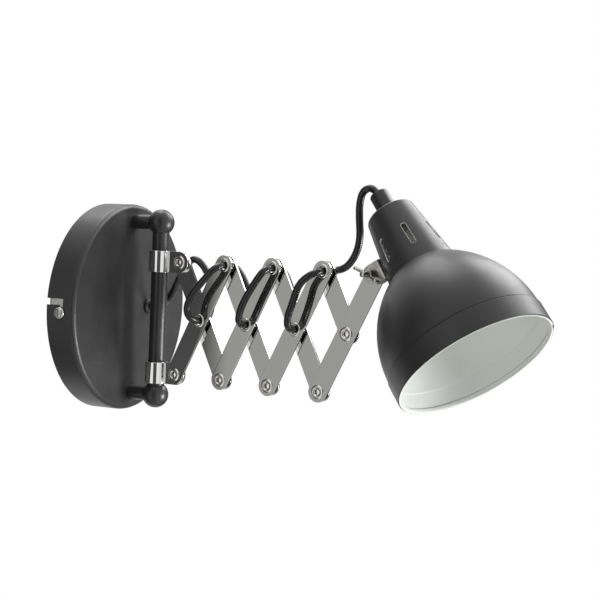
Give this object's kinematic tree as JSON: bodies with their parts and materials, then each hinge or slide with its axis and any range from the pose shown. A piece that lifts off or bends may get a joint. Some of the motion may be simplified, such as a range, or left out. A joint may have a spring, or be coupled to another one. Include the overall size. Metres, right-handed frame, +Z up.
{
  "type": "accordion wall lamp",
  "caption": "Wall lamp with a scissor arm that slides and swivels on a rod, a cable laced through its hollow pivots, and a tilting bell shade on a slotted neck.",
  "frame": {"origin": "middle of the wall plate's back face, where the lamp meets the wall", "axes": "+Z up, +Y into the wall along the canopy's axis, the arm reaches out along -Y, +X to the right as seen from the room"},
  "size_m": [0.1819, 0.3398, 0.1677],
  "materials": {
    "black_paint": "satin black powder coat on steel, white satin enamel inside the shade",
    "mirror_chrome": "polished chrome plate",
    "bright_nickel": "bright nickel plate",
    "zinc": "bright zinc plate",
    "brass": "plain brass",
    "holder_plastic": "off-white thermoset",
    "black_rubber": "soft black rubber",
    "black_cable": "smooth black cable sheath"
  },
  "bodies": {
    "base": {"wall_plate": "zinc", "canopy_shell": "black_paint", "side_screw_left": "zinc", "side_screw_right": "zinc", "upper_post_screw": "zinc", "lower_post_screw": "zinc", "terminal_block": "holder_plastic", "cable_grommet": "black_rubber", "upper_post": "black_paint", "lower_post": "black_paint", "upper_ball": "black_paint", "lower_ball": "black_paint", "guide_rod": "black_paint", "cable_root": "black_cable"},
    "lower_collar": {"lower_collar": "mirror_chrome", "lower_collar_rivet": "bright_nickel"},
    "upper_collar": {"upper_collar": "mirror_chrome", "upper_collar_rivet": "bright_nickel"},
    "rising_1": {"rising_link_1": "mirror_chrome", "middle_eyelet_1": "bright_nickel", "high_eyelet_1": "bright_nickel", "cable_front_1": "black_cable"},
    "rising_2": {"rising_link_2": "mirror_chrome", "middle_eyelet_2": "bright_nickel", "high_eyelet_2": "bright_nickel", "cable_front_2": "black_cable"},
    "rising_3": {"rising_link_3": "mirror_chrome", "middle_eyelet_3": "bright_nickel", "high_eyelet_3": "bright_nickel", "cable_front_3": "black_cable"},
    "rising_4": {"rising_link_4": "mirror_chrome", "cable_lead": "black_cable"},
    "falling_1": {"falling_link_1": "mirror_chrome", "low_rivet_1": "bright_nickel"},
    "falling_2": {"falling_link_2": "mirror_chrome", "low_rivet_2": "bright_nickel", "cable_rear_1": "black_cable"},
    "falling_3": {"falling_link_3": "mirror_chrome", "low_rivet_3": "bright_nickel", "cable_rear_2": "black_cable"},
    "falling_4": {"falling_link_4": "mirror_chrome", "middle_rivet": "bright_nickel"},
    "tilt_bracket": {"tilt_bracket": "zinc", "tilt_screw": "zinc", "front_washer": "zinc", "rear_washer": "zinc"},
    "wing_nut": {"wing_nut": "zinc"},
    "shade": {"shade_shell": "black_paint", "neck_screw": "zinc", "lampholder": "holder_plastic", "socket_liner": "brass", "socket_contact": "brass", "threaded_nipple": "zinc", "lock_nut": "zinc", "cord_cap": "black_paint"}
  },
  "joints": [
    {"name": "arm_swivel", "type": "hinge", "parent": "base", "child": "lower_collar", "pos_m": [0, -0.0435, 0], "axis": [0, 0, 1], "range_deg": [-67, 83], "deforming": ["cable_root"]},
    {"name": "arm_extend", "type": "hinge", "parent": "lower_collar", "child": "rising_1", "pos_m": [-0.00257, -0.06182, -0.046], "axis": [0.9903, -0.1392, 0], "range_deg": [-13.5, 38], "deforming": ["cable_root", "cable_lead"]},
    {"name": "middle_1", "type": "hinge", "parent": "rising_1", "child": "falling_1", "pos_m": [-0.00537, -0.08174, -0.00575], "axis": [0.9903, -0.1392, 0], "range_deg": [-76, 27]},
    {"name": "upper_collar_pivot", "type": "hinge", "parent": "falling_1", "child": "upper_collar", "pos_m": [-0.00257, -0.06182, 0.03451], "axis": [0.9903, -0.1392, 0], "range_deg": [-13.5, 38]},
    {"name": "high_1", "type": "hinge", "parent": "rising_1", "child": "falling_2", "pos_m": [-0.00817, -0.10166, 0.03451], "axis": [0.9903, -0.1392, 0], "range_deg": [-76, 27]},
    {"name": "low_1", "type": "hinge", "parent": "falling_1", "child": "rising_2", "pos_m": [-0.00817, -0.10166, -0.046], "axis": [0.9903, -0.1392, 0], "range_deg": [-27, 76]},
    {"name": "low_2", "type": "hinge", "parent": "falling_2", "child": "rising_3", "pos_m": [-0.01377, -0.14149, -0.046], "axis": [0.9903, -0.1392, 0], "range_deg": [-27, 76]},
    {"name": "high_2", "type": "hinge", "parent": "rising_2", "child": "falling_3", "pos_m": [-0.01377, -0.14149, 0.03451], "axis": [0.9903, -0.1392, 0], "range_deg": [-76, 27]},
    {"name": "high_3", "type": "hinge", "parent": "rising_3", "child": "falling_4", "pos_m": [-0.01937, -0.18133, 0.03451], "axis": [0.9903, -0.1392, 0], "range_deg": [-76, 27], "deforming": ["cable_lead"]},
    {"name": "middle_4", "type": "hinge", "parent": "falling_4", "child": "rising_4", "pos_m": [-0.02217, -0.20125, -0.00575], "axis": [0.9903, -0.1392, 0], "range_deg": [-27, 76], "deforming": ["cable_lead"]},
    {"name": "head_tilt", "type": "hinge", "parent": "rising_4", "child": "tilt_bracket", "pos_m": [-0.0269, -0.22089, 0.03451], "axis": [0.9903, -0.1392, 0], "range_deg": [-41, 36], "deforming": ["cable_lead"]},
    {"name": "head_swivel", "type": "hinge", "parent": "tilt_bracket", "child": "shade", "pos_m": [-0.0269, -0.22089, 0.03451], "axis": [0.1183, 0.8419, -0.5265], "range_deg": [-35.8, 14.2], "deforming": ["cable_lead"]},
    {"name": "wing_turn", "type": "hinge", "parent": "tilt_bracket", "child": "wing_nut", "pos_m": [-0.0269, -0.22089, 0.03451], "axis": [0.9903, -0.1392, 0], "range_deg": [-180, 180]}
  ],
  "couplings": [
    {"joint": "middle_1", "follows": "arm_extend", "ratio": -2},
    {"joint": "upper_collar_pivot", "follows": "arm_extend", "ratio": 1},
    {"joint": "high_1", "follows": "arm_extend", "ratio": -2},
    {"joint": "low_1", "follows": "arm_extend", "ratio": 2},
    {"joint": "low_2", "follows": "arm_extend", "ratio": 2},
    {"joint": "high_2", "follows": "arm_extend", "ratio": -2},
    {"joint": "high_3", "follows": "arm_extend", "ratio": -2},
    {"joint": "middle_4", "follows": "arm_extend", "ratio": 2}
  ]
}
